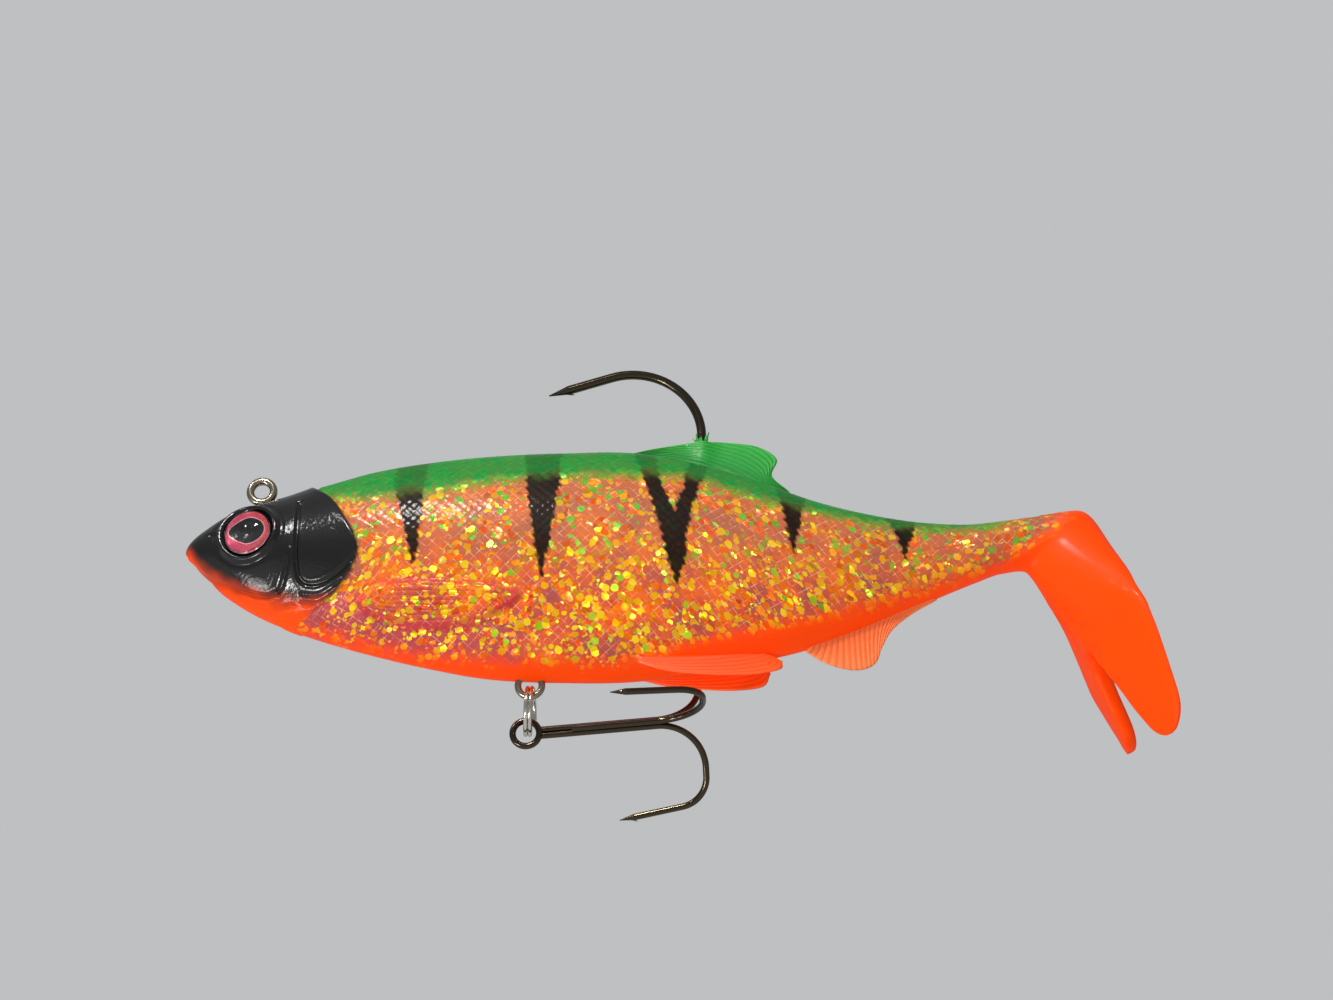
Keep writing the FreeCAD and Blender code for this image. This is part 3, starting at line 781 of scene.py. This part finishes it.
UPPER_FLAKES = [
    (0.0, linear(255, 170, 30)), (0.24, linear(244, 92, 30)), (0.46, linear(206, 112, 70)),
    (0.60, linear(255, 206, 30)), (0.76, linear(104, 200, 60)),
]
LOWER_FLAKES = [
    (0.0, linear(255, 186, 0)), (0.30, linear(255, 122, 0)), (0.54, linear(255, 220, 20)),
    (0.74, linear(244, 84, 28)), (0.93, linear(170, 220, 30)),
]
COOL_FLAKES = [
    (0.0, linear(140, 214, 50)), (0.3, linear(70, 190, 76)), (0.55, linear(190, 200, 70)),
    (0.8, linear(40, 180, 110)),
]
# spacing, half width and share of each size of flake, and an offset that sets the layers apart
FLAKE_LAYERS = ((0.80, 0.26, 0.36, 3.1), (1.20, 0.46, 0.60, 17.3), (1.60, 0.66, 0.66, 41.9))


def lay_flakes(m, uv, base, high, low, density):
    """Lays each size of flake over base: returns the colour, the flakes' mask and their random tilt."""
    colour, mask, tilt = base, 0.0, (0.5, 0.5, 0.5, 1)
    for pitch, radius, share, shift in FLAKE_LAYERS:
        on, luck, pick = m.flakes(uv, pitch, radius, m.math("MULTIPLY", density, share), shift)
        warm = m.mix(low, m.ramp(pick, UPPER_FLAKES, True), m.ramp(pick, LOWER_FLAKES, True))
        is_cool = m.math("GREATER_THAN", high, m.math("ADD", m.math("MULTIPLY", pick, 0.8), 0.12))
        shade = m.mix(is_cool, warm, m.ramp(pick, COOL_FLAKES, True))
        colour = m.mix(m.math("MULTIPLY", on, 0.9), colour, shade)
        tilt = m.mix(on, tilt, luck)
        mask = m.math("MAXIMUM", mask, on)
    return colour, mask, tilt


def flank(m, uv, back, belly, rose, low):
    """The unpainted plastic with its flakes, shading into green at the back, and the pale lines of the
    scales, which are partly a painted highlight on their edges.
    """
    cloud = m.noise(uv, 0.14, 3)
    tints = [(0.36, linear(168, 80, 74)), (0.50, linear(204, 86, 60)), (0.64, linear(238, 104, 34))]
    base = m.ramp(cloud, tints)
    base = m.mix(m.math("MULTIPLY", rose, 0.75), base, linear(178, 70, 84))
    base = m.mix(m.blend(low, 0.55, 0.0), base, linear(176, 112, 72))
    high = m.math("ADD", back, m.math("MULTIPLY", m.noise(uv, 0.09, 1), 0.12), clamp=True)
    clump = m.math("SUBTRACT", m.noise(uv, 0.26, 2), 0.34, clamp=True)
    clump = m.math("MULTIPLY", clump, m.blend(low, 4.2, 6.4))
    density = m.math("MULTIPLY", clump, m.math("SUBTRACT", 1.0, m.math("MULTIPLY", rose, 0.45)))
    colour, mask, tilt = lay_flakes(m, uv, base, high, low, density)
    haze = m.math("MULTIPLY", m.math("MULTIPLY", back, m.math("SUBTRACT", 1.0, back)), 2.0)
    colour = m.mix(haze, colour, linear(104, 150, 40))
    colour = m.mix(m.math("MULTIPLY", m.math("POWER", back, 1.5), 0.92), colour, GREEN)
    faint = m.math("SUBTRACT", m.noise(uv, 0.7, 2), 0.43, clamp=True)
    faint = m.math("MULTIPLY", faint, 5.0, clamp=True)
    faint = m.math("MULTIPLY", faint, m.math("SUBTRACT", 1.0, belly))
    # the pale lines between the scales are partly the scale pattern and partly a painted highlight along the
    # scales' raised edges
    line = m.mix(back, linear(255, 200, 150), linear(60, 190, 80))
    colour = m.mix(m.math("MULTIPLY", scale_net(m, uv), m.math("MULTIPLY", faint, 0.68)), colour, line)
    return colour, mask, tilt


def hide_material():
    """Translucent body full of flakes, green back, orange belly, black bars and painted head."""
    m = Shader("hide")
    uv = m.uv()
    back, belly, bar = m.attribute("back"), m.attribute("belly"), m.attribute("bar")
    head, chin, fin = m.attribute("head"), m.attribute("chin"), m.attribute("fin")
    colour, mask, tilt = flank(m, uv, back, belly, m.attribute("rose"), m.attribute("low"))
    # paint over the flank: pectoral fins, belly, bars, head
    colour = m.mix(m.math("MULTIPLY", fin, 0.5), colour, linear(206, 44, 66))
    colour = m.mix(belly, colour, ORANGE)
    tar = linear(9, 8, 7)
    colour = m.mix(m.math("MULTIPLY", bar, m.blend(m.math("POWER", back, 2.0), 0.98, 0.36)), colour, tar)
    skull = m.mix(chin, tar, linear(255, 78, 8))
    colour = m.mix(head, colour, skull)
    opaque = m.math("MAXIMUM", m.math("MAXIMUM", belly, bar), m.math("MAXIMUM", head, back))
    mask = m.math("MULTIPLY", mask, m.math("SUBTRACT", 1.0, opaque, clamp=True))
    # each flake faces its own way
    pitted = m.bump(m.noise(uv, 1.5, 3, 0.6), m.math("ADD", m.math("MULTIPLY", head, 0.22), 0.30), 0.00009)
    lean = m.vector("SUBTRACT", tilt, (0.5, 0.5, 0.5))
    lean = m.vector("NORMALIZE", m.vector("ADD", pitted, m.vector("SCALE", lean, scale=mask)))
    # the black of the head has the strongest gloss
    plain = m.math("MAXIMUM", m.math("MAXIMUM", belly, head), back)
    black_head = m.math("MULTIPLY", head, m.math("SUBTRACT", 1.0, chin))
    gloss = m.blend(black_head, m.blend(plain, 0.15, 0.05), 1.0)
    m.set(Base_Color=colour, Metallic=m.math("MULTIPLY", mask, 0.28), Normal=lean,
          Roughness=m.blend(mask, 0.48, 0.24), Coat_Weight=gloss,
          Coat_Roughness=0.09, Coat_IOR=1.45, Coat_Normal=pitted, Specular_IOR_Level=0.08,
          Subsurface_Weight=0.12, Subsurface_Radius=(1.0, 0.35, 0.15), Subsurface_Scale=0.0015)
    # painted glow: the orange belly and chin give off a faint orange light of their own, standing in for the
    # luminous look of the fluorescent plastic
    glow = m.math("MULTIPLY", m.math("MAXIMUM", belly, m.math("MULTIPLY", head, chin)), 0.13)
    m.set(Emission_Color=ORANGE, Emission_Strength=glow)
    return m.material


def fin_material(name, colour, tip, glow, across, along):
    """Fin plastic with painted shade in the grooves between rays; across and along are the rays' turns over
    the fin.

    tip is the colour towards the outer edge, and glow stands for the light that the thin plastic passes.
    """
    m = Shader(name)
    rim = m.attribute("rim")
    speckle = m.noise(m.uv(), 1.6, 3)
    shade = m.mix(m.math("MULTIPLY", m.math("POWER", rim, 2.0), 0.5), colour, tip)
    shade = m.mix(m.math("MULTIPLY", speckle, 0.35), shade, tip)
    turns = m.math("ADD", m.math("MULTIPLY", rim, across), m.math("MULTIPLY", m.attribute("run"), along))
    ray = m.math("SINE", m.math("MULTIPLY", turns, 2 * math.pi))
    groove = m.math("MAXIMUM", m.math("MULTIPLY", ray, -1.0), 0.0)
    # painted shade: the grooves between the rays, where the relief sinks, are mixed towards a dimmer copy of
    # the fin's colour
    groove_shade = tuple(0.45 * c for c in colour[:3]) + (1.0,)
    shade = m.mix(m.math("MULTIPLY", groove, 0.40), shade, groove_shade)
    m.set(Base_Color=shade, Roughness=0.42, Coat_Weight=0.25, Coat_Roughness=0.14, Emission_Color=colour,
          Emission_Strength=glow, Subsurface_Weight=0.2, Subsurface_Radius=(1.0, 0.5, 0.3),
          Subsurface_Scale=0.001)
    return m.material


def metal_material(name, colour, roughness, scratch):
    """Bare or plated metal whose roughness wanders by scratch."""
    m = Shader(name)
    place = m.add("ShaderNodeTexCoord").outputs["Object"]
    grain = m.noise(place, 900.0, 3)
    m.set(Base_Color=colour, Metallic=1.0, Roughness=m.blend(grain, roughness - scratch, roughness + scratch))
    return m.material


def iris_material():
    """Pink-red ring round a black, forward-pointed pupil, on foil."""
    m = Shader("iris")
    parts = m.add("ShaderNodeSeparateXYZ")
    m.put(parts.inputs[0], m.uv())
    x, z = parts.outputs[0], parts.outputs[1]
    # the pupil narrows towards the nose
    narrow = m.math("ADD", 1.0, m.math("MULTIPLY", m.math("MAXIMUM", m.math("MULTIPLY", x, -1.0), 0.0), 0.16))
    px = m.math("DIVIDE", m.math("ADD", x, 0.15), 3.2)
    pz = m.math("DIVIDE", m.math("MULTIPLY", m.math("SUBTRACT", z, 0.25), narrow), 2.45)
    pupil = m.math("SQRT", m.math("ADD", m.math("POWER", m.math("ABSOLUTE", px), 2.0),
                                 m.math("POWER", m.math("ABSOLUTE", pz), 2.0)))
    radius = m.math("SQRT", m.math("ADD", m.math("MULTIPLY", x, x), m.math("MULTIPLY", z, z)))
    foil = m.noise(m.uv(), 3.0, 4, 0.7)
    pinks = [(0.3, linear(186, 34, 58)), (0.5, linear(232, 66, 84)), (0.7, linear(255, 128, 128))]
    ring = m.ramp(foil, pinks)
    ring = m.mix(m.math("MULTIPLY", m.math("SUBTRACT", 0.5, m.math("MULTIPLY", x, 0.2), clamp=True), 0.5),
                 ring, linear(206, 48, 120))
    ring = m.mix(m.math("GREATER_THAN", radius, 4.05), ring, linear(20, 8, 10))
    thin = m.math("MULTIPLY", m.math("GREATER_THAN", pupil, 1.0), m.math("LESS_THAN", pupil, 1.07))
    ring = m.mix(thin, ring, linear(250, 190, 190))
    colour = m.mix(m.math("LESS_THAN", pupil, 1.0), ring, linear(10, 10, 14))
    m.set(Base_Color=colour, Roughness=0.3, Metallic=0.25, Coat_Weight=0.4, Coat_Roughness=0.08)
    return m.material


def lens_material():
    m = Shader("clear_epoxy")
    m.set(Base_Color=(1, 1, 1, 1), Roughness=0.03, IOR=1.28, Transmission_Weight=1.0)
    return m.material


# ---- build --------------------------------------------------------------------------------------
FRONT, REAR, STEM, PADDLE = "front_body", "rear_body", "tail_stem", "paddle"

hide = hide_material()
green_fin = fin_material("green_fin", linear(0, 146, 52), linear(60, 190, 60), 0.02, 9, 5)
orange_fin = fin_material("orange_fin", ORANGE, linear(255, 102, 24), 0.14, 6, 1)
pale_fin = fin_material("pale_fin", linear(250, 98, 30), linear(255, 150, 84), 0.05, 1.5, 24)
black_nickel = metal_material("black_nickel", linear(74, 66, 54), 0.16, 0.04)
steel = metal_material("steel_wire", linear(150, 142, 124), 0.22, 0.06)
ring_steel = metal_material("ring_steel", linear(206, 202, 192), 0.16, 0.05)


def dress(obj, material):
    """Gives a piece its only material."""
    obj.data.materials.clear()
    obj.data.materials.append(material)


hide_front, hide_rear = build_skin()
hide_tail = build_tail()
for piece in (hide_front, hide_rear):
    dress(piece, hide)
dress(hide_tail, hide)
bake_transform(hide_front)
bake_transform(hide_rear)
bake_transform(hide_tail)
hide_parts("body_front", "pectoral_fin_left", "pectoral_fin_right")
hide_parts("body_rear", "tail_stem")
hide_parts("paddle_tail")

fins = build_fins()
dress(fins["fin_dorsal"], green_fin)
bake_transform(fins["fin_dorsal"])
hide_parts("dorsal_fin")
dress(fins["fin_anal"], pale_fin)
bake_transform(fins["fin_anal"])
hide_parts("anal_fin")
for word in ("left", "right"):
    piece = fins[f"fin_pelvic_{word}"]
    dress(piece, orange_fin)
    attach(piece, FRONT)
    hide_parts(f"pelvic_fin_{word}")

torn_lip = build_torn_lip()
dress(torn_lip, green_fin)
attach(torn_lip, FRONT)

iris_look, lens_look = iris_material(), lens_material()
for side, word in ((-1, "left"), (1, "right")):
    disc, dome = build_eye(side, word)
    dress(disc, iris_look)
    dress(dome, lens_look)
    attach(disc, FRONT)
    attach(dome, FRONT)
    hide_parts(f"iris_{word}")
    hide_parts(f"eye_lens_{word}")

for node, material, slot in (
    ("jig_hook", black_nickel, "black_nickel"), ("treble_pair", black_nickel, "black_nickel"),
    ("treble_single", black_nickel, "black_nickel"), ("line_tie_wire", steel, "steel_wire"),
    ("belly_wire", steel, "steel_wire"), ("split_ring", ring_steel, "steel_ring"),
    ("lead_head", steel, "lead"),
):
    dress(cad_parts[node], material)

# ---- stage, light and camera --------------------------------------------------------------------
ELEVATION, TARGET, DISTANCE = math.radians(-25), Vector((0.07344, 0, -0.0016)), 0.456
LENS, SENSOR = 67.9, 36.0
# metres; the floor lies so low that it doesn't hide the fish in views from below
FLOOR_Z, STAGE_REACH = -0.62, 5.0
WHITE = (1.0, 1.0, 1.0)
# each light: name, place, diameter, watts, colour
LIGHTS = [
    ("key", (-0.06, -0.40, 0.36), 0.07, 2.1, (1.0, 0.97, 0.92)),
    ("fill", (-0.22, -0.36, -0.29), 0.09, 0.95, (1.0, 0.98, 0.95)),
    ("cheek", (-0.33, -0.22, -0.29), 0.10, 0.32, WHITE),
    ("brow", (-0.24, -0.31, 0.30), 0.04, 0.45, WHITE),
    ("rim", (0.10, 0.45, 0.35), 0.35, 0.2, WHITE),
]


def stage_piece(name, material, points, faces):
    """A piece of the stage, which isn't part of the object."""
    mesh = bpy.data.meshes.new(name)
    mesh.from_pydata(points, [], faces)
    mesh.materials.append(material)
    piece = bpy.data.objects.new(name, mesh)
    bpy.context.scene.collection.objects.link(piece)
    return piece


def stage_scene():
    """Pale floor, a pale surround that neither lights nor mirrors in the part, and an even soft sky."""
    pale = Shader("pale_floor")
    pale.set(Base_Color=linear(222, 222, 220), Roughness=0.85, Emission_Color=(0.8, 0.8, 0.8, 1.0),
             Emission_Strength=0.34)
    reach = STAGE_REACH
    corners = [(x * reach, y * reach, FLOOR_Z) for x, y in ((-1, -1), (1, -1), (1, 1), (-1, 1))]
    stage_piece("floor", pale.material, corners, [(0, 1, 2, 3)])
    glow = Shader("pale_surround")
    glow.set(Base_Color=(0, 0, 0, 1), Specular_IOR_Level=0.0, Emission_Color=(0.80, 0.81, 0.82, 1.0),
             Emission_Strength=0.65)
    box = [(x, y, z) for x in (-reach, reach) for y in (-reach, reach) for z in (FLOOR_Z - 0.01, reach)]
    sides = [(0, 1, 3, 2), (4, 6, 7, 5), (0, 4, 5, 1), (2, 3, 7, 6), (1, 5, 7, 3)]
    surround = stage_piece("surround", glow.material, box, sides)
    surround.visible_diffuse = surround.visible_glossy = surround.visible_transmission = False
    surround.visible_shadow = False
    world = bpy.data.worlds.new("studio")
    world.use_nodes = True
    sky = world.node_tree.nodes["Background"]
    sky.inputs[0].default_value = (0.80, 0.82, 0.85, 1)
    sky.inputs[1].default_value = 0.38
    bpy.context.scene.world = world


def area_light(name, place, size, power, colour):
    """A round soft light aimed at the middle of the fish."""
    data = bpy.data.lights.new(name, "AREA")
    data.shape = "DISK"
    data.size = size
    data.energy = power
    data.color = colour
    light = bpy.data.objects.new(name, data)
    light.location = place
    light.rotation_euler = (TARGET - Vector(place)).to_track_quat("-Z", "Y").to_euler()
    bpy.context.scene.collection.objects.link(light)


def camera():
    """The camera in front of the left flank, looking up at the fish from below."""
    data = bpy.data.cameras.new("camera")
    data.lens, data.sensor_width, data.clip_start = LENS, SENSOR, 0.01
    eye = bpy.data.objects.new("camera", data)
    look = Vector((0, math.cos(ELEVATION), -math.sin(ELEVATION)))
    eye.location = TARGET - look * DISTANCE
    eye.rotation_euler = look.to_track_quat("-Z", "Y").to_euler()
    bpy.context.scene.collection.objects.link(eye)
    bpy.context.scene.camera = eye


stage_scene()
for light in LIGHTS:
    area_light(*light)
camera()
bpy.context.scene.view_settings.view_transform = "Standard"
